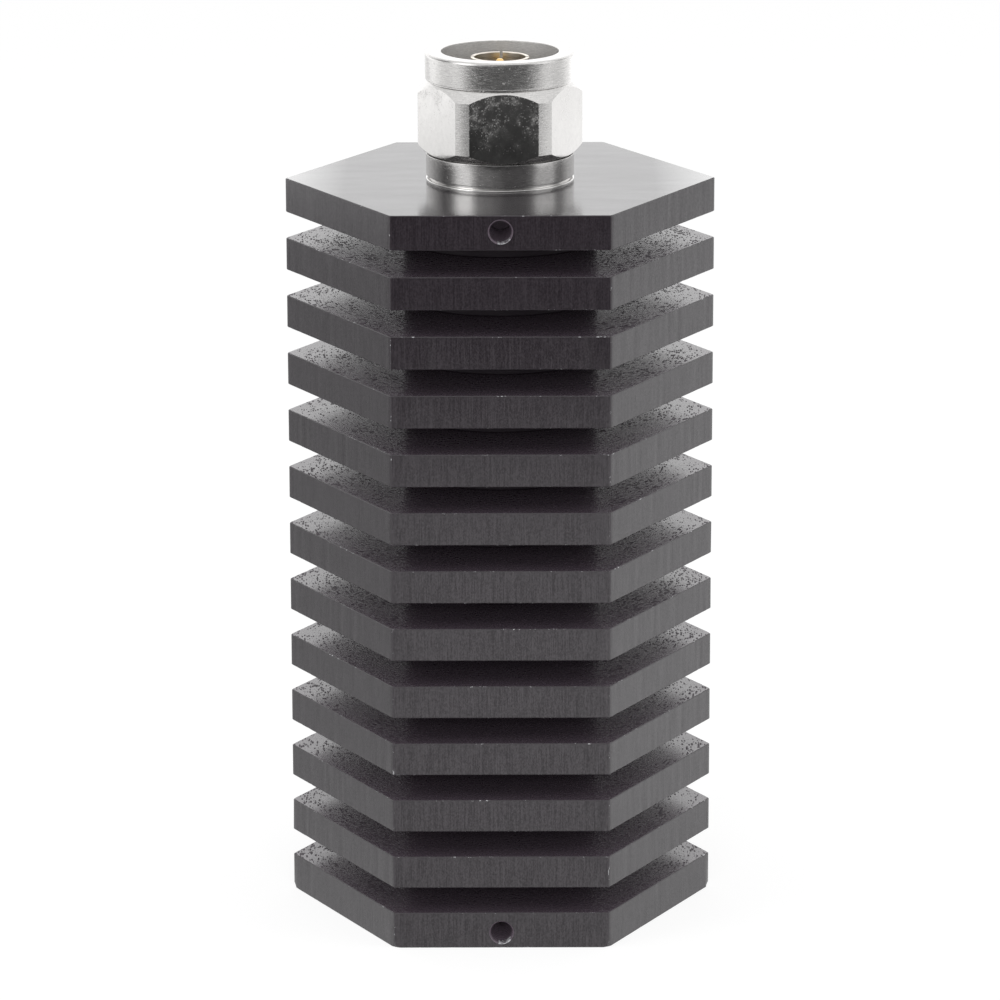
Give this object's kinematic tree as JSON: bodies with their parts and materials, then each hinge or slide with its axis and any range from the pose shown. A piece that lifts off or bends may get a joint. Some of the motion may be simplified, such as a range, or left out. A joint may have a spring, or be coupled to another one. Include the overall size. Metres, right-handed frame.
{
  "type": "coaxial dummy load",
  "caption": "Dry coaxial dummy load: hexagonal bar turned into a stack of cooling plates round a core, with a threaded coupling plug on its top face.",
  "frame": {"origin": "centre of the heat sink's flat bottom face", "axes": "+Z along the coaxial line's axis to the plug; the flat with the two tapped holes faces -Y; corners of the hexagon point to -X and +X"},
  "size_m": [0.0584, 0.0508, 0.1197],
  "materials": {
    "black_anodised": "black anodised, drawn flats and turned faces",
    "nickel_plated": "bright nickel plate over turned brass",
    "contact_plated": "white bronze plate over beryllium copper",
    "gold_plated": "gold plate over turned brass",
    "bead_plastic": "white fluoropolymer, turned",
    "gasket_rubber": "silicone rubber, matt",
    "ring_steel": "spring steel",
    "rod_ceramic": "unglazed ceramic with a resistive film",
    "cap_silvered": "silver plate over brass",
    "sleeve_aluminium": "bare turned aluminium",
    "collet_bronze": "bare phosphor bronze"
  },
  "bodies": {
    "load": {"heat_sink": "black_anodised", "collar_washer": "nickel_plated", "connector_body": "nickel_plated", "outer_contact": "contact_plated", "front_insulator": "bead_plastic", "rear_insulator": "bead_plastic", "centre_pin": "gold_plated", "nut_retaining_ring": "ring_steel", "mating_gasket": "gasket_rubber", "resistor_rod": "rod_ceramic", "resistor_front_cap": "cap_silvered", "resistor_rear_cap": "cap_silvered", "matching_sleeve": "sleeve_aluminium", "ground_collet": "collet_bronze", "disc_spring": "ring_steel"},
    "nut": {"coupling_nut": "nickel_plated"}
  },
  "joints": [
    {"name": "nut_spin", "type": "hinge", "parent": "load", "child": "nut", "pos_m": [0, 0, 0.11285], "axis": [0, 0, 1], "continuous": true}
  ]
}
